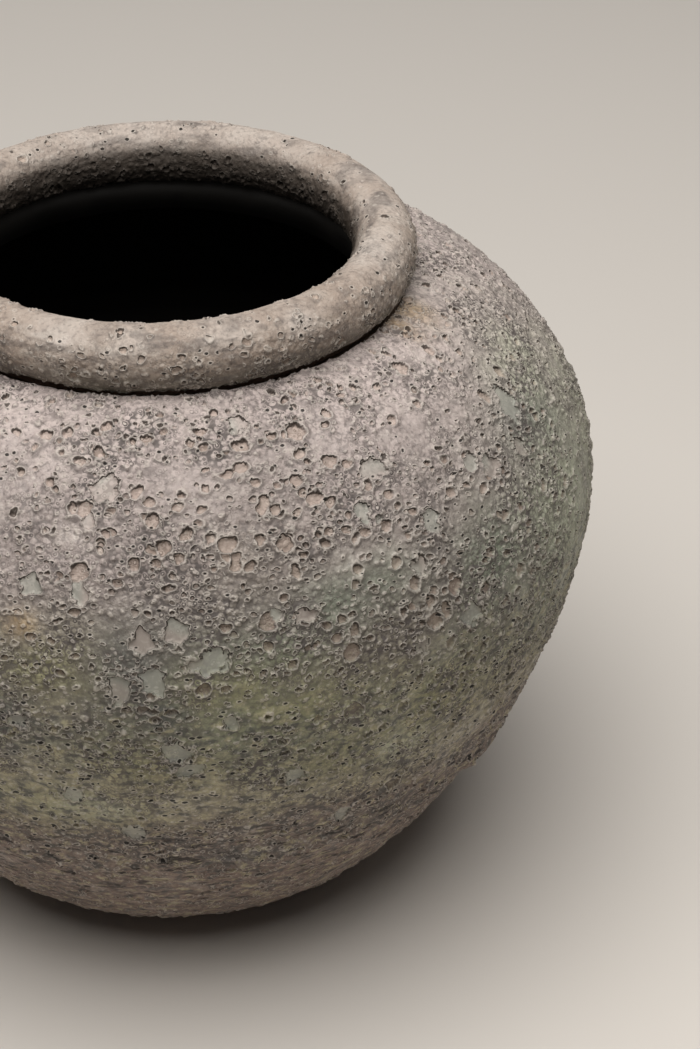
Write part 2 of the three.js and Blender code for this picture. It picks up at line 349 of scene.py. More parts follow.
def hollow_parts(tree, beyond, rise, lip, mound):
    """Parts of a hollow, each from 0 to 1, by the distance beyond its edge and the rise above its middle."""
    off_lip = apart(tree, beyond, 0.6 * lip)
    off_wall = apart(tree, beyond, -0.14)
    off_foot = apart(tree, beyond, 0.62 * mound)
    return {
        "floor": fade(tree, beyond, 0.05, -0.4),
        "lip": fade(tree, off_lip, lip, 0.0),
        # Painted shadow: a dark crescent inside the upper wall, where the lamp above leaves it in shade.
        "brow_shade": times(tree, fade(tree, off_wall, 0.38, 0.1), fade(tree, rise, -0.1, 0.45)),
        "mound": fade(tree, beyond, mound, 0.0),
        # Painted shade on the lower side of a mound, at its foot.
        "skirt_shade": times(tree, fade(tree, off_foot, 0.5 * mound, 0.0), fade(tree, rise, -0.1, -0.7)),
    }


def crater_layer(tree, place, share, spacing, radius, lip, mound, seed):
    """The parts of one size of crater, at those scattered points that carry one."""
    distance, luck, rise = cells(tree, place, spacing, seed, (1, 1, CRATER_FLATNESS))
    size = calc(tree, "MULTIPLY_ADD", luck[1], SIZE_SPREAD * radius, SMALLEST * radius)
    parts = hollow_parts(tree, calc(tree, "SUBTRACT", distance, size), rise, lip, mound)
    there = calc(tree, "LESS_THAN", luck[0], share)
    return {name: times(tree, part, there) for name, part in parts.items()}


def scattered_craters(tree, place, shares):
    """The parts of all scattered craters, which grow rare low on the jar, the big ones most."""
    low_down = fade(tree, parts_of(tree, place)[2], *BIG_CRATERS_FADE, 1.0, 0.3)
    crooked = bent(tree, place, **CRATER_BEND)
    big = crater_layer(tree, crooked, times(tree, shares, low_down), **BIG_CRATER)
    rarer = calc(tree, "MULTIPLY_ADD", low_down, 0.7 * SMALL_SHARE, 0.3 * SMALL_SHARE)
    small = crater_layer(tree, crooked, times(tree, shares, rarer), **SMALL_CRATER)
    for part in ("floor", "mound"):
        small[part] = times(tree, small[part], SMALL_DEPTH)
    return {part: calc(tree, "MAXIMUM", big[part], small[part]) for part in big}


def large_hollows(tree, place, stored):
    """The parts of the nearest large hollow, the pool in it if it healed, and whether a place is outside it."""
    raggedness = calc(tree, "MULTIPLY_ADD", stored["healed"], RAGGEDNESS, RAGGEDNESS)
    ragged = times(tree, waves(tree, place, **RAGGED_NOISE), raggedness)
    shrink = calc(tree, "MULTIPLY_ADD", stored["healed"], -0.7, 0.9)
    beyond = total(tree, stored["hollow"], ragged, shrink)
    parts = hollow_parts(tree, beyond, stored["hollow_rise"], **LARGE_HOLLOW)
    pool = times(tree, parts["floor"], stored["healed"])
    parts["floor"] = calc(tree, "SUBTRACT", parts["floor"], pool)
    return parts, pool, without(tree, fade(tree, beyond, 0.6, 0.0))


print("Crater spacings:", BIG_CRATER["spacing"], "and", SMALL_CRATER["spacing"], "mm")

# %% The recipe that relief and colour share
PEBBLE = {"spacing": 1.75, "seed": 41.3}
PEBBLE_BEND = {"size": 2.2, "amount": 1.0, "seed": 8}
BEAD_SHARE = 0.6
CALM_NOISE = {"size": 26, "detail": 2, "seed": 9}
EDGE_NOISE = {"size": 26, "detail": 3, "seed": 6}
EDGE_WAVER = 9
EDGE_HALF = 1.6
CRUST_FADE = (-26, 14)
RIM_TOP = (237, 246)


def pebbles(tree, place, quiet):
    """The ground between craters: pebbles, the seams between them, and rings and tops of beads."""
    spacing = PEBBLE["spacing"]
    distance, luck, _ = cells(tree, bent(tree, place, **PEBBLE_BEND), **PEBBLE)
    round_top = fade(tree, distance, 0.68 * spacing, 0.1 * spacing)
    size = calc(tree, "MULTIPLY_ADD", luck[2], 0.75, 0.25)
    bead = calc(tree, "MULTIPLY_ADD", luck[1], 0.24 * spacing, 0.16 * spacing)
    off_bead = calc(tree, "SUBTRACT", distance, bead)
    beaded = times(tree, calc(tree, "LESS_THAN", luck[0], BEAD_SHARE), quiet)
    return {
        "pebble": times(tree, round_top, size, quiet),
        "seam": times(tree, fade(tree, distance, 0.46 * spacing, 0.72 * spacing), quiet),
        "bead": times(tree, fade(tree, calc(tree, "ABSOLUTE", off_bead), 0.3, 0.06), beaded),
        "bead_top": times(tree, fade(tree, off_bead, -0.05, -0.35), beaded),
    }


def glaze_recipe(tree, place, stored, share):
    """What the glaze does at a place in millimetres.

    Stored are values of the surface itself: the distance to the edge of the nearest large hollow, the rise
    above that hollow's middle, whether it healed to a pool, and how calm the glaze is. Share is the part of
    the scattered points that carry a crater.
    """
    height = parts_of(tree, place)[2]
    level = calc(tree, "MULTIPLY_ADD", waves(tree, place, **EDGE_NOISE), EDGE_WAVER, height)
    over_edge = calc(tree, "SUBTRACT", level, edge_height)
    drift = fade(tree, noise(tree, place, **CALM_NOISE)[0], 0.5, 0.66)
    calm = calc(tree, "MAXIMUM", drift, stored["calm"])
    crust = fade(tree, over_edge, *CRUST_FADE, 0.6, 1.0)
    rim_top = fade(tree, height, *RIM_TOP, 1.0, 0.35)

    quiet = times(tree, fade(tree, calm, 0.0, 1.0, 1.0, 0.4), crust, rim_top)
    made = pebbles(tree, place, quiet)
    shares = times(tree, share, fade(tree, calm, 0.0, 1.0, 1.0, 0.5), rim_top)
    scattered = scattered_craters(tree, place, shares)
    large, pool, outside = large_hollows(tree, place, stored)
    for part in large:
        made[part] = calc(tree, "MAXIMUM", times(tree, scattered[part], outside), large[part])
    coat = fade(tree, over_edge, -EDGE_HALF, EDGE_HALF)
    made.update(pool=pool, over_edge=over_edge, calm=calm, crust=crust, rim_top=rim_top, coat=coat)
    return made


print("Pebbles about", PEBBLE["spacing"], "mm apart")

# %% [markdown]
# ## Relief in Geometry Nodes
# The tree lifts each point of a smooth turned surface along its normal by what the recipe says. Its named
# inputs set how deep the craters are and how many there are, so that body and rim use one tree. It stores
# the relief as an attribute, because the colour is darker in the low places.

# %% Heights of the relief
SWELL = 1.1
SWELL_NOISE = {"size": 48, "detail": 1, "seed": 1}
LUMP_NOISE = {"size": 6, "detail": 4, "seed": 4}
BODY_COAT = 1.2
ROLL = 2.0
ROLL_START = -0.5
ROLL_TOP = 3
ROLL_END = 14
ROLL_NOISE = {"size": 7, "detail": 2, "seed": 14}
STREAK = 0.5
STREAK_NOISE = {"size": 10, "detail": 4, "seed": 8, "squeeze": LEVEL}
LOWER_ROUGHNESS = 0.8
LOWEST = -0.4
POOL_DEPTH = 0.35


def relief_heights(tree, given, place, glaze):
    """Height of the crust alone, and of the whole coat over the smooth surface, in millimetres."""
    pebble = times(tree, glaze["pebble"], given["Pebble height"])
    lump = times(tree, waves(tree, place, **LUMP_NOISE), given["Lump height"], glaze["rim_top"])
    ground = times(tree, total(tree, pebble, lump), without(tree, glaze["floor"]))
    mound = times(tree, glaze["mound"], given["Mound height"])
    lip = times(tree, glaze["lip"], given["Lip height"])
    floor = times(tree, glaze["floor"], given["Crater depth"], -1.0)
    rough = total(tree, ground, mound, lip, floor)
    sunk = times(tree, glaze["pool"], -POOL_DEPTH)
    crust = calc(tree, "MULTIPLY_ADD", rough, without(tree, glaze["pool"]), sunk)

    roll_rise = fade(tree, glaze["over_edge"], ROLL_START, ROLL_TOP)
    roll_fall = fade(tree, glaze["over_edge"], ROLL_TOP, ROLL_END, 1.0, 0.0)
    roll_lumps = fade(tree, noise(tree, place, **ROLL_NOISE)[0], 0.34, 0.66, 0.15, 1.0)
    roll = times(tree, roll_rise, roll_fall, roll_lumps, ROLL)
    streaks = waves(tree, place, **STREAK_NOISE)
    layers = times(tree, streaks, given["Layer height"])
    thick = times(tree, glaze["coat"], total(tree, BODY_COAT, roll, crust, layers))
    grainy = calc(tree, "MULTIPLY_ADD", streaks, STREAK, times(tree, crust, LOWER_ROUGHNESS))
    thin = times(tree, without(tree, glaze["coat"]), grainy)
    swell = calc(tree, "MULTIPLY_ADD", noise(tree, place, **SWELL_NOISE)[0], SWELL, -SWELL / 2)
    return crust, calc(tree, "MAXIMUM", total(tree, swell, thick, thin), LOWEST)


print("Thick coat:", BODY_COAT, "mm, with a roll of", ROLL, "mm at its edge")

# %% Build the relief tree
BODY_SHARE = 0.8
STORED = ("hollow", "hollow_rise", "healed", "calm")
RELIEF_INPUTS = {
    "Crater share": BODY_SHARE,
    "Crater depth": 1.2,
    "Lip height": 0.34,
    "Mound height": 0.55,
    "Pebble height": 0.18,
    "Lump height": 2.1,
    "Layer height": 0.0,
}


def group_input(tree, name, kind, value=None):
    """Adds a named input to a tree and returns its identifier."""
    socket = tree.interface.new_socket(name, in_out="INPUT", socket_type=kind)
    if value is not None:
        socket.default_value = value
    return socket.identifier


def build_relief(tree):
    """Fills the relief tree: recipe, height along the normal, attribute, material."""
    given = tree.nodes.new("NodeGroupInput").outputs
    place = millimetres(tree, tree.nodes.new("GeometryNodeInputPosition").outputs[0])
    stored = {}
    for name in STORED:
        reader = tree.nodes.new("GeometryNodeInputNamedAttribute")
        reader.inputs["Name"].default_value = name
        stored[name] = reader.outputs[0]
    glaze = glaze_recipe(tree, place, stored, given["Crater share"])
    crust, height = relief_heights(tree, given, place, glaze)

    store = tree.nodes.new("GeometryNodeStoreNamedAttribute")
    store.data_type = "FLOAT"
    store.domain = "POINT"
    store.inputs["Name"].default_value = "relief"
    tree.links.new(given["Geometry"], store.inputs["Geometry"])
    tree.links.new(crust, store.inputs["Value"])
    along = tree.nodes.new("ShaderNodeVectorMath")
    along.operation = "SCALE"
    tree.links.new(tree.nodes.new("GeometryNodeInputNormal").outputs[0], along.inputs[0])
    tree.links.new(calc(tree, "DIVIDE", height, METRE), along.inputs["Scale"])
    move = tree.nodes.new("GeometryNodeSetPosition")
    tree.links.new(store.outputs[0], move.inputs["Geometry"])
    tree.links.new(along.outputs[0], move.inputs["Offset"])
    whole = tree.nodes.new("GeometryNodeRealizeInstances")
    tree.links.new(move.outputs[0], whole.inputs[0])
    finish = tree.nodes.new("GeometryNodeSetMaterial")
    tree.links.new(whole.outputs[0], finish.inputs["Geometry"])
    tree.links.new(given["Glaze"], finish.inputs["Material"])
    tree.links.new(finish.outputs[0], tree.nodes.new("NodeGroupOutput").inputs[0])


relief_tree = bpy.data.node_groups.new("Crater glaze relief", "GeometryNodeTree")
relief_tree.interface.new_socket("Geometry", in_out="OUTPUT", socket_type="NodeSocketGeometry")
relief_sockets = {"Geometry": group_input(relief_tree, "Geometry", "NodeSocketGeometry")}
for name, value in RELIEF_INPUTS.items():
    relief_sockets[name] = group_input(relief_tree, name, "NodeSocketFloat", value)
relief_sockets["Glaze"] = group_input(relief_tree, "Glaze", "NodeSocketMaterial")
build_relief(relief_tree)
print("Relief tree:", len(relief_tree.nodes), "nodes")

# %% [markdown]
# ## Colour of the glaze
# The coat turns from lilac-grey on the shoulder through grey-brown and olive to mauve near the foot,
# where it ran thin. An image could carry that, but it would blur close up, so the zones are a colour ramp
# over the height, pushed up and down by a slow noise. The recipe then paints what each place is: peach
# crater floors, pale lips, dark seams between beads, black pinholes and pale pools.

# %% Helpers for colours
def tone(red, green, blue):
    """A colour as it looks on a screen, from 0 to 255, as the linear colour that nodes use."""
    return tuple(((c / 255 + 0.055) / 1.055) ** 2.4 for c in (red, green, blue)) + (1.0,)


def mixed(tree, amount, under, over):
    """One colour laid over another."""
    node = tree.nodes.new("ShaderNodeMix")
    node.data_type = "RGBA"
    feed(tree, node.inputs["Factor"], amount)
    feed(tree, node.inputs[6], under)
    feed(tree, node.inputs[7], over)
    return node.outputs[2]


def painted(tree, colour, layers):
    """A colour under layers of paint, each with an amount, a strength and a colour of its own."""
    for amount, strength, over in layers:
        colour = mixed(tree, times(tree, amount, strength), colour, over)
    return colour


def colour_ramp(tree, value, stops):
    """A colour for a value; stops are (value, colour)."""
    low, high = stops[0][0], stops[-1][0]
    node = tree.nodes.new("ShaderNodeValToRGB")
    node.color_ramp.interpolation = "EASE"
    points = node.color_ramp.elements
    while len(points) < len(stops):
        points.new(0.5)
    for point, (at, colour) in zip(points, stops):
        point.position = (at - low) / (high - low)
        point.color = colour
    share = tree.nodes.new("ShaderNodeMapRange")
    for name, given in zip(("Value", "From Min", "From Max"), (value, low, high)):
        feed(tree, share.inputs[name], given)
    tree.links.new(share.outputs[0], node.inputs[0])
    return node.outputs[0]


def attribute(tree, name):
    """A value that a mesh stores for its points."""
    node = tree.nodes.new("ShaderNodeAttribute")
    node.attribute_name = name
    return node.outputs


def new_finish(title):
    """A new material, with its tree and its shader."""
    material = bpy.data.materials.new(title)
    material.use_nodes = True
    return material, material.node_tree, material.node_tree.nodes["Principled BSDF"]


def add_bump(tree, shader, height, strength):
    """Roughens a shader by a height in millimetres that is too fine for the mesh."""
    bump = tree.nodes.new("ShaderNodeBump")
    bump.inputs["Strength"].default_value = strength
    bump.inputs["Distance"].default_value = 1 / METRE
    tree.links.new(height, bump.inputs["Height"])
    tree.links.new(bump.outputs[0], shader.inputs["Normal"])


print("Colour helpers are ready")

# %% Colours of the glaze
PEACH = tone(184, 164, 150)
PALE_LIP = tone(206, 198, 189)
SEAM = tone(86, 80, 78)
STRAW = tone(180, 172, 140)
INK = tone(66, 68, 66)
# Colour of the painted shadow in the upper walls of craters.
BROW_SHADE = tone(48, 39, 33)
PINHOLE = tone(18, 16, 14)
CRACK = tone(40, 35, 34)
POOL_WARM = tone(186, 174, 166)
POOL_COOL = tone(180, 181, 171)
RIM_SHADE = tone(58, 51, 45)
TINT_COLOURS = {
    "green": (tone(112, 123, 106), 0.85),
    "olive": (tone(142, 140, 102), 0.8),
    "slate": (tone(72, 77, 80), 0.85),
    "ochre": (tone(168, 138, 92), 0.75),
    # Pale: whitish glaze on the rim top; the two wide patches on its far side are painted light.
    "pale": (tone(214, 205, 198), 0.6),
    # Sage: a real green-grey; its patches at -8 to -27 degrees also paint light on the side away from the lamp.
    "sage_and_painted_light": (tone(184, 186, 164), 0.8),
    "umber": (tone(116, 107, 98), 0.6),
}
ZONES = (
    (60, tone(132, 113, 103)),
    (88, tone(132, 117, 107)),
    (110, tone(154, 147, 127)),
    (140, tone(144, 143, 126)),
    (170, tone(131, 125, 117)),
    (200, tone(170, 158, 154)),
    (228, tone(198, 184, 180)),
)
RIM_ZONES = (
    (229, tone(108, 106, 93)),
    (234, tone(122, 115, 104)),
    (240, tone(147, 132, 120)),
    (248, tone(170, 154, 142)),
)
print("Zones of colour:", len(ZONES), "on the body and", len(RIM_ZONES), "on the rim")

# %% Pinholes and cracks
PINHOLES = {"spacing": 3.2, "seed": 77, "squeeze": (1, 1, 1.7)}
PINHOLE_SMALLEST = 0.16
PINHOLE_SPREAD = 0.5
PINHOLE_LOW_GAIN = 0.32
PINHOLE_RING = 0.36
SWARM_NOISE = {"size": 13, "detail": 2, "seed": 71}
CRACK_NOISE = {"size": 9, "detail": 3, "seed": 8, "squeeze": LEVEL}


def pinholes(tree, place, over_edge):
    """Small deep holes that come in swarms, and the pale rings round them."""
    distance, luck, _ = cells(tree, place, **PINHOLES)
    swarm = fade(tree, noise(tree, place, **SWARM_NOISE)[0], 0.42, 0.64, 0.1, 0.85)
    there = calc(tree, "LESS_THAN", luck[0], times(tree, swarm, fade(tree, over_edge, -8, 12)))
    low_gain = fade(tree, over_edge, 100, 60, 0.0, PINHOLE_LOW_GAIN)
    size = total(tree, calc(tree, "MULTIPLY_ADD", luck[1], PINHOLE_SPREAD, PINHOLE_SMALLEST), low_gain)
    beyond = calc(tree, "SUBTRACT", distance, size)
    hole = times(tree, fade(tree, beyond, 0.1, -0.08), there)
    ring = times(tree, fade(tree, apart(tree, beyond, PINHOLE_RING), PINHOLE_RING, 0.0), there)
    return hole, ring


def cracks(tree, place, over_edge):
    """Short dark gashes that lie level, low down, where the crust thins out."""
    gash = fade(tree, noise(tree, place, **CRACK_NOISE)[0], 0.585, 0.645)
    return times(tree, gash, fade(tree, over_edge, 40, 10), fade(tree, over_edge, -60, -5))


print("Pinholes about", PINHOLES["spacing"], "mm apart")

# %% Layers of colour
ZONE_NOISE = {"size": 40, "detail": 3, "seed": 12}
MOTTLE_NOISE = {"size": 9, "detail": 4, "seed": 21}
CURDLE_NOISE = {"size": 4.5, "detail": 4, "seed": 37, "squeeze": (1, 1, 1.6)}
FLOW_NOISE = {"size": 13, "detail": 4, "seed": 28, "squeeze": LEVEL}
SPECK_NOISE = {"size": 1.5, "detail": 3, "seed": 91}
SEAM_NOISE = {"size": 16, "detail": 2, "seed": 61}
POOL_NOISE = {"size": 18, "detail": 1, "seed": 33}
LOW_ZONE = (100, 70)
PEACH_FADE = (60, 105)


def glaze_ground(tree, place, zones, waver):
    """Colour of the glaze before its marks: zones by height, mottled and tinted."""
    level = calc(tree, "MULTIPLY_ADD", waves(tree, place, **ZONE_NOISE), waver, parts_of(tree, place)[2])
    mottle = noise(tree, place, **MOTTLE_NOISE)[0]
    patchy = fade(tree, mottle, 0.3, 0.62, 0.55, 1.0)
    layers = [
        (fade(tree, mottle, 0.52, 0.74), 0.32, PALE_LIP),
        (fade(tree, mottle, 0.46, 0.28), 0.3, SEAM),
    ]
    for tint, (shade, strength) in TINT_COLOURS.items():
        layers.append((times(tree, attribute(tree, tint)["Fac"], patchy), strength, shade))
    return painted(tree, colour_ramp(tree, level, zones), layers)


def glaze_marks(tree, place, glaze, grain, layered):
    """Layers of paint for the marks of the crust, from large and faint to small and clear."""
    low_zone = fade(tree, glaze["over_edge"], *LOW_ZONE)
    curdle = noise(tree, place, **CURDLE_NOISE)[0]
    flow = noise(tree, place, **FLOW_NOISE)[0]
    speck = noise(tree, place, **SPECK_NOISE)[0]
    seaming = fade(tree, noise(tree, place, **SEAM_NOISE)[0], 0.38, 0.62, 0.3 * grain, 0.95 * grain)
    low = fade(tree, attribute(tree, "relief")["Fac"], 0.1, -0.8)
    coolness = fade(tree, noise(tree, place, **POOL_NOISE)[0], 0.42, 0.58)
    pool_tone = mixed(tree, calc(tree, "MAXIMUM", coolness, low_zone), POOL_WARM, POOL_COOL)
    return [
        (fade(tree, curdle, 0.49, 0.35, 0.0, 0.8), low_zone, INK),
        (fade(tree, curdle, 0.52, 0.66, 0.0, 0.7), low_zone, STRAW),
        (fade(tree, flow, 0.5, 0.34, 0.0, 0.55), layered, SEAM),
        (fade(tree, flow, 0.52, 0.7, 0.0, 0.3), layered, PALE_LIP),
        (fade(tree, speck, 0.47, 0.32), 0.5 * grain, SEAM),
        (fade(tree, speck, 0.55, 0.7), 0.35 * grain, PALE_LIP),
        (glaze["seam"], seaming, SEAM),
        (glaze["pebble"], 0.12, PALE_LIP),
        (glaze["bead"], seaming, SEAM),
        (glaze["bead_top"], times(tree, seaming, 0.5), PALE_LIP),
        (times(tree, low, without(tree, glaze["floor"])), 0.35, SEAM),
        # Painted shade below the mounds of craters.
        (glaze["skirt_shade"], 0.45, SEAM),
        (glaze["floor"], fade(tree, glaze["over_edge"], *PEACH_FADE, 0.1, 0.45), PEACH),
        (glaze["lip"], 0.5, PALE_LIP),
        (glaze["ring"], 0.45, PALE_LIP),
        (glaze["pool"], 0.5, pool_tone),
        # Painted shadow in the upper walls of craters.
        (glaze["brow_shade"], 0.85, BROW_SHADE),
        (glaze["crack"], 0.8, CRACK),
        (glaze["hole"], 0.95, PINHOLE),
    ]


print("Tints:", ", ".join(TINT_COLOURS))

# %% The crater glaze material
ZONE_WAVER = 46
RIM_WAVER = 6
RIM_SHARE = 0.7
RIM_GRAIN = 0.75
RIM_LAYERED = 0.9
RIM_INSIDE = {"radius": (80, 76), "height": (246.5, 240.5), "strength": 0.92}
MATTE = 0.72
CALM_MATTE = 0.46
POOL_GLOSS = 0.15
GLAZE_SPECULAR = 0.35
GRAIN_NOISE = {"size": 1.4, "detail": 4, "seed": 51}
GLAZE_BUMP = 0.9
CALM_FLATNESS = 0.35
BUMPS = {"pebble": 0.6, "bead": -0.18, "lip": 0.25, "floor": -0.35, "ring": 0.12, "hole": -0.7, "crack": -0.5}
GRAIN_BUMP = 0.8


def glaze_material(title, zones, waver, share, grain, inside):
    """Crater glaze, coloured by height, by the recipe and by the stored tints."""
    material, tree, shader = new_finish(title)
    place = attribute(tree, "coat_place")["Vector"]
    glaze = glaze_recipe(tree, place, {name: attribute(tree, name)["Fac"] for name in STORED}, share)
    glaze["hole"], glaze["ring"] = pinholes(tree, place, glaze["over_edge"])
    glaze["crack"] = cracks(tree, place, glaze["over_edge"])
    layered = RIM_LAYERED if inside else without(tree, glaze["crust"])
    layers = glaze_marks(tree, place, glaze, grain, layered)
    if inside:
        inner = fade(tree, from_axis(tree, place), *inside["radius"])
        deep = fade(tree, parts_of(tree, place)[2], *inside["height"], 0.0, inside["strength"])
        layers.append((inner, deep, RIM_SHADE))
    colour = painted(tree, glaze_ground(tree, place, zones, waver), layers)
    tree.links.new(colour, shader.inputs["Base Color"])

    matte = fade(tree, glaze["calm"], 0.0, 1.0, MATTE, CALM_MATTE)
    roughness = calc(tree, "MULTIPLY_ADD", glaze["pool"], -POOL_GLOSS, matte)
    tree.links.new(roughness, shader.inputs["Roughness"])
    shader.inputs["Specular IOR Level"].default_value = GLAZE_SPECULAR

    heights = [times(tree, noise(tree, place, **GRAIN_NOISE)[0], GRAIN_BUMP)]
    heights += [times(tree, glaze[part], amount) for part, amount in BUMPS.items()]
    flat = calc(tree, "MAXIMUM", glaze["pool"], times(tree, glaze["calm"], CALM_FLATNESS))
    add_bump(tree, shader, times(tree, total(tree, *heights), without(tree, flat)), GLAZE_BUMP)
    return material


body_finish = glaze_material("body_crater_glaze", ZONES, ZONE_WAVER, BODY_SHARE, 1.0, None)
rim_finish = glaze_material("rim_crater_glaze", RIM_ZONES, RIM_WAVER, RIM_SHARE, RIM_GRAIN, RIM_INSIDE)
print("Glaze shader:", len(body_finish.node_tree.nodes), "nodes")

# %% [markdown]
# ## Craters, pools and tints with a place of their own
# Some marks are too few and too plain to leave to chance: large hollows, smooth pools where one healed,
# the clearest craters of the front, and soft patches of olive, green and slate. The solid already has its
# largest craters, as points off its turned grid, so their places are measured there. Pools and front
# craters were picked in the image, so a ray through the pixel finds their place on the coat. Tints
# are placed by their angle round the jar and their height. Every point of the surface stores how far it
# is from the nearest hollow's edge, and how strong each tint is there.

# %% Pick the pools and craters of the front
# Each has its pixel from the left and from the top, then half its width and half its height in millimetres.
POOLS = (
    (106, 490, 4.2, 5.4), (175, 632, 3.6, 5.0), (210, 662, 6.2, 4.2), (80, 590, 3.2, 4.6),
    (507, 403, 4.6, 6.4), (362, 512, 2.6, 5.0), (432, 520, 3.2, 4.4), (375, 467, 6.0, 3.4),
    (308, 613, 3.2, 2.4), (470, 615, 5.4, 3.6), (468, 461, 3.0, 3.2), (238, 426, 3.4, 3.4),
    (420, 567, 2.2, 3.4), (118, 690, 4.0, 5.2), (175, 753, 5.6, 4.6), (187, 770, 5.0, 3.4),
    (142, 642, 3.8, 3.8), (20, 722, 3.4, 3.0), (89.6, 517.7, 2.2, 3.4), (422.6, 647.9, 2.7, 3.0),
    (275.3, 616.3, 2.4, 2.1), (31.5, 584, 3.2, 2.4),
)
FRONT_CRATERS = (
    (46.9, 436.1, 3.0, 1.9), (67.7, 433.9, 2.2, 2.1), (106.6, 427.3, 2.2, 2.0), (132.7, 443.4, 1.7, 1.9),
    (145.9, 439.8, 2.1, 1.7), (199, 432.8, 3.0, 1.7), (191, 443.4, 1.9, 1.4), (203.6, 448.4, 2.0, 1.6),
    (241.3, 445.6, 3.1, 2.2), (62.2, 453, 2.2, 1.4), (81.3, 461.3, 3.7, 1.6), (97.8, 453.8, 1.9, 2.6),
    (240.5, 468, 3.0, 1.9), (226.9, 474.9, 2.7, 1.5), (178.3, 506.9, 1.6, 1.9), (180.8, 497, 1.6, 1.3),
    (204, 489.2, 1.6, 1.5), (152.6, 521, 2.5, 2.6), (164.2, 548.4, 2.9, 2.6), (186.6, 535.1, 2.0, 3.0),
    (209.8, 538.4, 2.7, 2.1), (226.4, 545.1, 3.9, 2.5), (238, 555.5, 2.1, 1.7), (235.5, 565.8, 2.6, 1.7),
    (248.8, 567.8, 2.2, 1.7), (179.9, 557.5, 2.5, 1.7), (155, 563.3, 1.7, 1.6), (73, 510.2, 1.6, 1.8),
    (104.5, 534.6, 1.6, 1.7), (330, 461.6, 3.2, 2.2), (297.8, 480.1, 2.4, 2.1), (314.2, 499.5, 3.0, 2.5),
    (330, 503.7, 2.4, 1.7), (299.5, 454.2, 2.2, 1.6), (325.8, 413.2, 1.7, 1.6), (417.4, 403.7, 1.9, 1.3),
    (387.9, 495.3, 1.9, 1.6), (367.9, 484.7, 1.7, 1.7), (386.2, 525.8, 1.9, 1.6), (357.4, 571, 1.9, 2.8),
    (395.3, 562.2, 1.6, 1.8), (295.3, 572.1, 2.1, 2.1), (356.3, 538.4, 1.7, 1.6), (324.7, 544.7, 2.1, 1.5),
    (260.5, 508.9, 1.9, 1.9), (275.9, 510, 1.7, 1.6), (258.4, 538.4, 2.2, 1.8), (269.6, 437.4, 2.5, 1.4),
    (450, 641.6, 1.9, 2.3), (354.2, 631, 1.9, 2.1), (403.7, 613.2, 2.1, 1.8), (430, 602.6, 2.1, 2.4),
    (446.8, 610, 2.2, 2.6), (454.2, 586.8, 2.7, 2.9), (341.6, 620.5, 2.4, 1.9), (484.7, 587.9, 2.1, 3.4),
)
LIP_REACH = 0.7
SEEN_COAT = 2.8
RAY_NEAR = 700
RAY_FAR = 1200
RAY_STEP = 0.5


def seen_at(across, down):
    """The angle round the jar and the way up its wall where a pixel's ray meets the coat."""
    pixel = (across - IMAGE_WIDTH_PX / 2, IMAGE_HEIGHT_PX / 2 - down, -FOCAL_LENGTH_PX)
    ray = np.array(camera.rotation_euler.to_matrix()) @ pixel
    reach = np.arange(RAY_NEAR, RAY_FAR, RAY_STEP)[:, None]
    points = np.array(CAMERA_PLACE) * METRE + reach * ray / np.linalg.norm(ray)
    coat = outline + SEEN_COAT * outward
    inside = np.hypot(points[:, 0], points[:, 1]) < np.interp(points[:, 2], coat[:, 1], coat[:, 0])
    x, y, z = points[np.argmax(inside)]
    return math.degrees(math.atan2(y, x)), up_the_wall([(math.hypot(x, y), z)])[0]


pools = [(*seen_at(x, y), wide, high) for x, y, wide, high in POOLS]
front_craters = [(*seen_at(x, y), wide + LIP_REACH, high + LIP_REACH) for x, y, wide, high in FRONT_CRATERS]
print("Pools placed:", len(pools), "and craters placed:", len(front_craters))

# %% Measure the craters of the solid
SOLID_COLUMNS = 40
OFF_COLUMN = 1e-3
LINK_STEPS = 8
HEALED_EVERY = 7


def solid_craters(node):
    """The solid's craters as (angle, way up the wall, half width, half height).

    Points off the turned grid belong to craters. Each crater has three rings of them, for its floor, its lip
    and the land round it, so the middle one is the lip.
    """
    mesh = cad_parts[node].data
    places = np.empty(len(mesh.vertices) * 3, "f")
    mesh.vertices.foreach_get("co", places)
    spots, same = np.unique((places.reshape(-1, 3) * METRE).round(3), axis=0, return_inverse=True)
    corners = np.empty(len(mesh.loops), "i")
    mesh.loops.foreach_get("vertex_index", corners)
    faces = same.ravel()[corners].reshape(-1, 3)
    turn = np.arctan2(spots[:, 1], spots[:, 0]) / (2 * math.pi) * SOLID_COLUMNS
    off_grid = np.abs(turn - turn.round()) > OFF_COLUMN
    links = np.vstack([faces[:, [0, 1]], faces[:, [1, 2]], faces[:, [2, 0]]])
    links = links[off_grid[links].all(axis=1)]
    label = np.arange(len(spots))
    for _ in range(LINK_STEPS):
        lowest = label[links].min(axis=1)
        np.minimum.at(label, links[:, 0], lowest)
        np.minimum.at(label, links[:, 1], lowest)
    found = []
    for group in np.unique(label[links]):
        ring = spots[label == group]
        x, y, z = ring.mean(axis=0)
        radius = np.median(np.linalg.norm(ring - [x, y, z], axis=1))
        height = up_the_wall([(math.hypot(x, y), z)])[0]
        found.append((math.degrees(math.atan2(y, x)), height, radius, radius))
    return found


craters = solid_craters("body_glaze")
hollows = [(crater, float(k % HEALED_EVERY == 0)) for k, crater in enumerate(craters)]
hollows += [(pool, 1.0) for pool in pools] + [(crater, 0.0) for crater in front_craters]
crater_sizes = [crater[2] for crater in craters]
print(f"Craters of the solid: {len(craters)}, radius {min(crater_sizes):.1f} to {max(crater_sizes):.1f} mm")

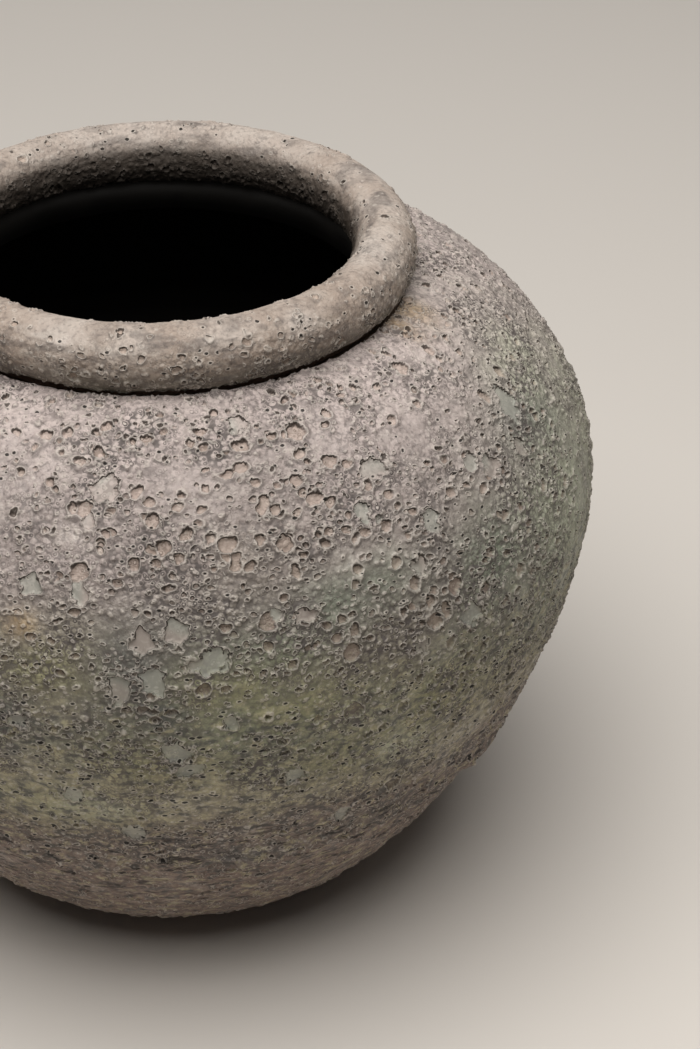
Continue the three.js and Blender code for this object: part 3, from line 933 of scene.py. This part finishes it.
# %% Place the tints and store what each point needs
# Each patch has its angle in degrees and its height, then half its width and half its height in millimetres.
TINTS = {
    "slate": (
        (-95, 166, 13, 16), (-92, 152, 9, 10), (-111, 149, 9, 7), (-81, 78, 15, 5), (-28, 200, 10, 6),
        (120, 150, 18, 14), (40, 96, 24, 8), (-160, 130, 14, 16),
    ),
    "olive": (
        (-106, 166, 26, 13), (-84, 159, 36, 11), (-75, 150, 40, 14), (-63, 124, 44, 14), (-106, 108, 34, 12),
        (-92, 132, 26, 14), (-55, 136, 26, 16), (60, 128, 60, 20), (160, 116, 50, 16),
    ),
    "green": (
        (-80, 169, 26, 10), (-28, 168, 34, 30), (-66, 180, 30, 12), (-24, 194, 26, 16), (-44, 173, 24, 18),
        (-81, 147, 30, 16), (100, 170, 50, 26), (-150, 160, 40, 20),
    ),
    "calm": (
        (-86, 213, 14, 5), (-104, 203, 10, 7), (-66, 190, 14, 7), (-78, 150, 36, 10), (-108, 106, 40, 12),
        (-50, 214, 14, 8), (30, 210, 60, 14), (120, 118, 60, 16), (-18, 166, 26, 26),
    ),
    "ochre": (
        (-21, 226.8, 7, 3), (-28.6, 227, 5, 3), (-109, 179, 5, 4), (75, 200, 6, 4), (170, 190, 7, 5),
    ),
    # Sage patches at -8 to -27 degrees, on the side away from the lamp, are partly painted light.
    "sage_and_painted_light": (
        (-27, 167, 30, 28), (-8, 170, 30, 40), (-16, 208, 20, 10), (-60, 118, 10, 7), (-101, 109, 14, 6),
        (150, 170, 26, 30),
    ),
    "umber": (
        (-80, 196, 22, 11), (-62, 168, 20, 12), (-61, 78, 24, 9), (10, 150, 40, 20), (-170, 185, 40, 14),
    ),
    # The two wide patches at 95 and 60 degrees, on the far side of the rim, are painted light.
    "pale": (
        (95, 250, 60, 9), (60, 250, 30, 8), (-112, 246, 12, 4), (-97, 245, 9, 3), (-20, 249, 20, 5),
        (-76, 246, 10, 3), (-58, 245, 8, 3), (4, 249, 12, 5), (24, 249, 12, 4),
    ),
}
FAR = 12.0
LAYERS = ("coat_place", "relief", "hollow", "hollow_rise", "healed", *TINTS)


def give_attribute(mesh, name, values):
    """Stores a number or a place for each point of a mesh, where relief and colour can read it."""
    kind, field = ("FLOAT_VECTOR", "vector") if name == "coat_place" else ("FLOAT", "value")
    layer = mesh.attributes.new(name, kind, "POINT")
    layer.data.foreach_set(field, np.ascontiguousarray(values, "f").ravel())


def patch_distance(points, upward, angle, half_width, half_height):
    """How far points are from the edge of an oval patch, in millimetres; below 0 inside it."""
    turn = np.arctan2(points[:, 1], points[:, 0]) - math.radians(angle)
    sideways = np.hypot(points[:, 0], points[:, 1]) * ((turn + math.pi) % (2 * math.pi) - math.pi)
    reach = np.hypot(sideways / half_width, upward / half_height)
    return (reach - 1) * min(half_width, half_height)


def mark_glaze(mesh, points, up_wall, hollows):
    """Stores where the smooth points were, the nearest large hollow, and the tints."""
    nearest = np.full(len(points), FAR)
    rise, healed = np.zeros(len(points)), np.zeros(len(points))
    for (angle, middle, half_width, half_height), heals in hollows:
        near = np.flatnonzero(np.abs(up_wall - middle) < FAR + half_height)
        upward = up_wall[near] - middle
        distance = patch_distance(points[near], upward, angle, half_width, half_height)
        closer = distance < nearest[near]
        nearest[near[closer]] = distance[closer]
        rise[near[closer]] = upward[closer] / half_height
        healed[near[closer]] = heals
    stored = {"coat_place": points, "hollow": nearest, "hollow_rise": rise, "healed": healed}
    for tint, patches in TINTS.items():
        weights = []
        for angle, height, half_width, half_height in patches:
            distance = patch_distance(points, points[:, 2] - height, angle, half_width, half_height)
            weights.append(np.exp(-((distance / min(half_width, half_height) + 1) ** 2)))
        stored[tint] = np.max(weights, axis=0)
    for name, values in stored.items():
        give_attribute(mesh, name, values)


print("Values stored for each point:", ", ".join(LAYERS))

# %% [markdown]
# ## The coats
# The outside is first one open surface, so that craters run on across it without a break. After the
# relief it is cut into bands, each below 200,000 triangles, and each band gets a smooth back against the
# clay, which makes it a closed shell. The bands keep the normals of the whole surface, so no joint shows
# between them.

# %% Helpers for coats
BOND_GAP = 0.3


def add_relief(surface, material, **values):
    """Runs the relief tree on a surface and keeps the result as a plain mesh."""
    modifier = surface.modifiers.new("relief", "NODES")
    modifier.node_group = relief_tree
    modifier[relief_sockets["Glaze"]] = material
    for name, value in values.items():
        modifier[relief_sockets[name.replace("_", " ").capitalize()]] = value
    graph = bpy.context.evaluated_depsgraph_get()
    raised = surface.evaluated_get(graph)
    plain = bpy.data.meshes.new_from_object(raised, preserve_all_data_layers=True, depsgraph=graph)
    surface.modifiers.clear()
    smooth = surface.data
    surface.data = plain
    bpy.data.meshes.remove(smooth)


def point_values(mesh, name):
    """A stored attribute as an array with a row for each point."""
    width, field = (3, "vector") if name == "coat_place" else (1, "value")
    values = np.empty(len(mesh.vertices) * width, "f")
    mesh.attributes[name].data.foreach_get(field, values)
    return values.reshape(-1, width)


def coat_band(name, surface, rows, columns, back, material):
    """Cuts rows out of a finished surface and closes them with a smooth back."""
    mesh = surface.data
    points, normals = np.empty((2, len(mesh.vertices) * 3), "f")
    mesh.vertices.foreach_get("co", points)
    mesh.vertex_normals.foreach_get("vector", normals)
    kept = np.arange(rows.start * columns, rows.stop * columns)
    front = points.reshape(-1, 3)[kept] * METRE
    behind = grid_points(back, columns).reshape(-1, 3)
    band_rows = len(rows) + len(back)
    band = mesh_object(name, np.vstack([front, behind]), grid_faces(band_rows, columns, True))
    band.data.materials.append(material)
    for layer in LAYERS:
        hidden = np.full((len(behind), 1), FAR if layer == "hollow" else 0.0)
        if layer == "coat_place":
            hidden = behind
        give_attribute(band.data, layer, np.vstack([point_values(mesh, layer)[kept], hidden]))
    inward = -grid_points(np.stack([np.ones(len(back)), np.zeros(len(back))], 1), columns).reshape(-1, 3)
    facing = np.vstack([normals.reshape(-1, 3)[kept], inward])
    band.data.normals_split_custom_set_from_vertices(facing.tolist())
    return band


print("Coats keep", BOND_GAP, "mm from the clay")

# %% Make the body's coats
COAT_SPACING = 0.62
COAT_COLUMNS = 1480
LOWER_COAT = 1.0
FOOT_MARGIN = 5
RIM_OVERLAP = 3.5
BACK_ROWS = 4
LOWER_BANDS = 2
BODY_BANDS = 7

coat_outline = outline + (BOND_GAP + LOWER_COAT) * outward
clay_outline = outline + BOND_GAP * outward


def clay_back(first, last):
    """A few points of the clay's outline under a band, from its top row down to its bottom row."""
    ends = [np.argmin(np.linalg.norm(coat_outline - place, axis=1)) for place in (last, first)]
    return clay_outline[np.linspace(*ends, BACK_ROWS).round().astype(int)]


under_rim = outline[outline[:, 0] > rim_high[0] - RIM_OVERLAP][-1, 1]
coated = (outline[:, 1] >= base[1] + FOOT_MARGIN) & (outline[:, 1] <= under_rim)
section = evenly(coat_outline[coated], COAT_SPACING)
smooth_points = grid_points(section, COAT_COLUMNS)
outside = mesh_object("outside", smooth_points, grid_faces(len(section), COAT_COLUMNS, False))
row_lengths = np.repeat(up_the_wall(section), COAT_COLUMNS)
mark_glaze(outside.data, smooth_points.reshape(-1, 3), row_lengths, hollows)
add_relief(outside, body_finish, crater_share=BODY_SHARE)

edge_row = int(np.argmin(np.abs(section[:, 1] - edge_height)))
for node, slot, bands, start, stop in (
    ("lower_glaze", "lower_glaze", LOWER_BANDS, 0, edge_row),
    ("body_glaze", "crater_glaze", BODY_BANDS, edge_row, len(section) - 1),
):
    cuts = np.linspace(start, stop, bands + 1).round().astype(int)
    for k, (first, last) in enumerate(zip(cuts, cuts[1:]), 1):
        back = clay_back(section[first], section[last])
        band = coat_band(f"{node}_{k}", outside, range(first, last + 1), COAT_COLUMNS, back, body_finish)
        set_in_frame(band, node)
bpy.data.objects.remove(outside)

# %% [markdown]
# ## The rim's coat
# The rolled rim carries the same glaze over a round bead of clay. Its section is most of a circle, open
# below where the roll meets the neck, so the same tree runs on a turned arc, with fewer and shallower
# craters.

# %% Make the rim's coat
RIM_SPACING = 0.62
RIM_COLUMNS = 880
RIM_CLAY_RADIUS = 8.7
RIM_COAT = 1.85
RIM_RELIEF_ROOM = 1.4
RIM_DROP = math.radians(55)
RIM_BACK_SPACING = 5
ARC_SAMPLES = 400
RIM_RELIEF = {
    "crater_share": RIM_SHARE,
    "crater_depth": 1.0,
    "lip_height": 0.42,
    "mound_height": 0.2,
    "lump_height": 0.9,
    "layer_height": 1.3,
}

rim_tube = RIM_CLAY_RADIUS + BOND_GAP + RIM_COAT
rim_centre = np.array([rim_high[0] - rim_tube, rim_high[2] - rim_tube])


def roll_arc(radius, spacing):
    """The roll's section from below its outside over the top to below its inside."""
    turn = np.linspace(-RIM_DROP, math.pi + RIM_DROP, ARC_SAMPLES)
    return evenly(rim_centre + radius * np.stack([np.cos(turn), np.sin(turn)], 1), spacing)


rim_section = roll_arc(rim_tube - RIM_RELIEF_ROOM, RIM_SPACING)
rim_points = grid_points(rim_section, RIM_COLUMNS)
rim_surface = mesh_object("rim_surface", rim_points, grid_faces(len(rim_section), RIM_COLUMNS, False))
mark_glaze(rim_surface.data, rim_points.reshape(-1, 3), np.zeros(rim_points.size // 3), [])
add_relief(rim_surface, rim_finish, **RIM_RELIEF)
rim_back = roll_arc(RIM_CLAY_RADIUS + BOND_GAP, RIM_BACK_SPACING)[::-1]
rim_coat = coat_band("rim_coat", rim_surface, range(len(rim_section)), RIM_COLUMNS, rim_back, rim_finish)
set_in_frame(rim_coat, "rim_glaze")
bpy.data.objects.remove(rim_surface)

# %% [markdown]
# ## Liner
# Inside, a near black coat covers the wall. It is smooth but for the faint rings that fingers leave on
# the wheel, so a turned section with a small ripple is enough.

# %% Make the liner
WALL = 8
LINER = 0.8
LINER_COLUMNS = 256
LINER_SPACING = 2.5
LINER_FLOOR_RINGS = 12
FLOOR_CLEARANCE = 0.05
FLOOR_CORNER = 1
RING_HEIGHT = 0.35
RING_PITCH = 9
liner_low, liner_high = node_box("liner_glaze")


def inside_line(depth, ripple):
    """The inside of the wall under a coat, from the floor's middle up to the mouth."""
    wall = outline - (WALL + depth) * outward
    floor = liner_low[2] - BOND_GAP + depth
    wall = wall[(wall[:, 1] > floor + FLOOR_CLEARANCE) & (wall[:, 0] > MOUTH_RADIUS - depth)]
    wall = evenly(wall, LINER_SPACING)
    wall[1:-1, 0] -= ripple * (0.5 + 0.5 * np.sin(2 * math.pi * wall[1:-1, 1] / RING_PITCH))
    lip = [[MOUTH_RADIUS - depth, wall[-1, 1]], [MOUTH_RADIUS - depth, liner_high[2]]]
    ground = [[r, floor] for r in np.linspace(0, wall[0, 0] - FLOOR_CORNER, LINER_FLOOR_RINGS)]
    return np.vstack([ground, wall, lip])


liner_section = np.vstack([inside_line(BOND_GAP, 0), inside_line(BOND_GAP + LINER, RING_HEIGHT)[::-1]])
liner_points = grid_points(liner_section, LINER_COLUMNS)
liner = mesh_object("liner_coat", liner_points, grid_faces(len(liner_section), LINER_COLUMNS, False))
close_poles(liner.data)
set_in_frame(liner, "liner_glaze")

# %% Colour of the liner
LINER_DARK = tone(9, 8, 7)
LINER_LIGHT = tone(17, 15, 13)
LINER_SPECULAR = 0.25
POUR_NOISE = {"size": 22, "detail": 4, "seed": 3, "squeeze": (1, 1, 0.4)}

liner_finish, liner_tree, liner_shader = new_finish("near_black_liner")
liner_place = millimetres(liner_tree, liner_tree.nodes.new("ShaderNodeTexCoord").outputs["Object"])
pour = noise(liner_tree, liner_place, **POUR_NOISE)[0]
liner_colour = mixed(liner_tree, fade(liner_tree, pour, 0.35, 0.7), LINER_DARK, LINER_LIGHT)
liner_tree.links.new(liner_colour, liner_shader.inputs["Base Color"])
liner_tree.links.new(fade(liner_tree, pour, 0.3, 0.7, 0.55, 0.75), liner_shader.inputs["Roughness"])
liner_shader.inputs["Specular IOR Level"].default_value = LINER_SPECULAR
liner.data.materials.append(liner_finish)
print("Liner shader:", len(liner_tree.nodes), "nodes")

# %% [markdown]
# ## Bare clay
# The clay shows only below: on the foot ring, on the underside and in the strip that the glaze left bare.
# Wheel lines run round it, so the shader draws fine rings by the distance from the axis. The foot ring
# is turned again with round edges, the lower bowl is turned again from its outline, and the clay pieces
# that glaze hides keep their solids.

# %% Colour of the clay
CLAY_PALE = tone(132, 112, 96)
CLAY_TOAST = tone(108, 86, 72)
CLAY_GROG = tone(66, 56, 50)
CLAY_ROUGHNESS = 0.92
CLAY_BUMP = 0.6
WHEEL_LINE_PITCH = 2.4
WHEEL_LINE_HEIGHT = 0.12
GROG_HEIGHT = 0.4
GROG_NOISE = {"size": 1.6, "detail": 3, "seed": 2}
TOAST_NOISE = {"size": 30, "detail": 2, "seed": 6}

clay_finish, clay_tree, clay_shader = new_finish("fired_clay")
clay_place = millimetres(clay_tree, clay_tree.nodes.new("ShaderNodeTexCoord").outputs["Object"])
wheel_way = total(clay_tree, from_axis(clay_tree, clay_place), parts_of(clay_tree, clay_place)[2])
wheel_lines = calc(clay_tree, "SINE", times(clay_tree, wheel_way, 2 * math.pi / WHEEL_LINE_PITCH))
grog = noise(clay_tree, clay_place, **GROG_NOISE)[0]
toast = noise(clay_tree, clay_place, **TOAST_NOISE)[0]
clay_colour = mixed(clay_tree, fade(clay_tree, toast, 0.4, 0.65), CLAY_PALE, CLAY_TOAST)
clay_colour = mixed(clay_tree, fade(clay_tree, grog, 0.56, 0.7, 0.0, 0.5), clay_colour, CLAY_GROG)
clay_tree.links.new(clay_colour, clay_shader.inputs["Base Color"])
clay_shader.inputs["Roughness"].default_value = CLAY_ROUGHNESS
grog_height = times(clay_tree, grog, GROG_HEIGHT)
clay_height = calc(clay_tree, "MULTIPLY_ADD", wheel_lines, WHEEL_LINE_HEIGHT, grog_height)
add_bump(clay_tree, clay_shader, clay_height, CLAY_BUMP)
for node in ("seam_coil", "upper_bowl", "neck_ring", "rim_roll"):
    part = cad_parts[node]
    part.data.materials.clear()
    part.data.materials.append(clay_finish)
print("Clay shader:", len(clay_tree.nodes), "nodes")

# %% Turn the foot ring and the lower bowl
FOOT_WIDTH = 11
FOOT_EDGE = 1.6
EDGE_SAMPLES = 7
FLOOR_THICKNESS = 10
CLAY_COLUMNS = 256
CLAY_SPACING = 3


def corner(middle_radius, middle_height, start, end):
    """A rounded edge in a section, between two angles in degrees."""
    turn = np.radians(np.linspace(start, end, EDGE_SAMPLES))
    return FOOT_EDGE * np.stack([np.cos(turn), np.sin(turn)], 1) + [middle_radius, middle_height]


def turned_clay(node, section, closed):
    """A clay piece turned from its section, in place of its solid."""
    points = grid_points(section, CLAY_COLUMNS)
    piece = mesh_object("smooth_" + node, points, grid_faces(len(section), CLAY_COLUMNS, closed))
    close_poles(piece.data)
    piece.data.materials.append(clay_finish)
    set_in_frame(piece, node)


foot_out, foot_in, foot_top = foot_high[0], foot_high[0] - FOOT_WIDTH, foot_high[2]
foot_section = np.vstack([
    corner(foot_in + FOOT_EDGE, FOOT_EDGE, 180, 270),
    corner(foot_out - FOOT_EDGE, FOOT_EDGE, 270, 360),
    [[foot_out, foot_top], [foot_in, foot_top]],
])
turned_clay("foot_ring", foot_section, True)

bowl_floor = bowl_low[2] + FLOOR_THICKNESS
below_seam = outline[:, 1] < seam_low[2]
bowl_outside = evenly(outline[below_seam], CLAY_SPACING)
bowl_inside = outline - WALL * outward
bowl_inside = evenly(bowl_inside[(bowl_inside[:, 1] > bowl_floor) & below_seam], CLAY_SPACING)
bowl_section = np.vstack([[[0, bowl_low[2]]], bowl_outside, bowl_inside[::-1], [[0, bowl_floor]]])
turned_clay("lower_bowl", bowl_section, False)

# %% [markdown]
# ## Floor and light
# The jar stands on a plain warm grey floor that fills the view. One large soft lamp hangs above it and a
# little in front, so that lips and mounds shade what lies under them. Light thrown back by the floor fills
# most of the shadows, and an even, very weak sky the rest. The lamp doesn't reach far over the floor, so
# the far floor and the sky show a pale tone of their own. Only the camera and reflections see it, so it
# adds no soft light.

# %% Add the floor
FLOOR_HALF = 4.0
LIT_FLOOR = 1.1
FAR_FLOOR = 2.4
FLOOR_TONE = tone(222, 217, 211)
FLOOR_ROUGHNESS = 0.9
FLOOR_SPECULAR = 0.1
SURROUND = tone(205, 199, 192)


def pale_surround(tree, amount, lit, pale, output):
    """Shows a pale shader, by an amount, to rays that are seen, and a lit one to rays that carry light."""
    path = tree.nodes.new("ShaderNodeLightPath").outputs
    mirrored = calc(tree, "MAXIMUM", path["Is Glossy Ray"], path["Is Transmission Ray"])
    seen = calc(tree, "MAXIMUM", path["Is Camera Ray"], mirrored)
    mix = tree.nodes.new("ShaderNodeMixShader")
    tree.links.new(times(tree, seen, amount), mix.inputs[0])
    tree.links.new(lit.outputs[0], mix.inputs[1])
    tree.links.new(pale.outputs[0], mix.inputs[2])
    tree.links.new(mix.outputs[0], tree.nodes[output].inputs["Surface"])


floor_mesh = bpy.data.meshes.new("floor")
floor_corners = [(x * FLOOR_HALF, y * FLOOR_HALF, 0) for x, y in ((-1, -1), (1, -1), (1, 1), (-1, 1))]
floor_mesh.from_pydata(floor_corners, [], [(0, 1, 2, 3)])
floor = bpy.data.objects.new("floor", floor_mesh)
bpy.context.collection.objects.link(floor)
floor_finish, floor_tree, floor_shader = new_finish("floor_paper")
floor_shader.inputs["Base Color"].default_value = FLOOR_TONE
floor_shader.inputs["Roughness"].default_value = FLOOR_ROUGHNESS
floor_shader.inputs["Specular IOR Level"].default_value = FLOOR_SPECULAR
off_middle = floor_tree.nodes.new("ShaderNodeVectorMath")
off_middle.operation = "LENGTH"
floor_tree.links.new(floor_tree.nodes.new("ShaderNodeTexCoord").outputs["Object"], off_middle.inputs[0])
far_paper = floor_tree.nodes.new("ShaderNodeEmission")
far_paper.inputs["Color"].default_value = SURROUND
far_amount = fade(floor_tree, off_middle.outputs["Value"], LIT_FLOOR, FAR_FLOOR)
pale_surround(floor_tree, far_amount, floor_shader, far_paper, "Material Output")
floor_mesh.materials.append(floor_finish)
print("Floor:", 2 * FLOOR_HALF, "m square")

# %% Add the lamp and the sky
LAMP_SIZE = 2.0
LAMP_POWER = 43
LAMP_COLOUR = (1.0, 0.97, 0.93)
LAMP_PLACE = (-0.1, -0.38, 1.8)
LAMP_TARGET = (0.0, 0.0, 0.1)
SKY_COLOUR = (0.95, 0.97, 1.0, 1)
SKY_STRENGTH = 0.04

lamp_data = bpy.data.lights.new("key", "AREA")
lamp_data.shape = "DISK"
lamp_data.size = LAMP_SIZE
lamp_data.energy = LAMP_POWER
lamp_data.color = LAMP_COLOUR
lamp = bpy.data.objects.new("key", lamp_data)
lamp.location = LAMP_PLACE
lamp.rotation_euler = (Vector(LAMP_TARGET) - lamp.location).to_track_quat("-Z", "Y").to_euler()
bpy.context.collection.objects.link(lamp)

sky = bpy.data.worlds.new("sky")
sky.use_nodes = True
weak_sky = sky.node_tree.nodes["Background"]
weak_sky.inputs["Color"].default_value = SKY_COLOUR
weak_sky.inputs["Strength"].default_value = SKY_STRENGTH
pale_sky = sky.node_tree.nodes.new("ShaderNodeBackground")
pale_sky.inputs["Color"].default_value = SURROUND
pale_surround(sky.node_tree, 1.0, weak_sky, pale_sky, "World Output")
bpy.context.scene.world = sky
bpy.context.scene.view_settings.view_transform = "Standard"
print("Lamp power:", lamp_data.energy, "W")
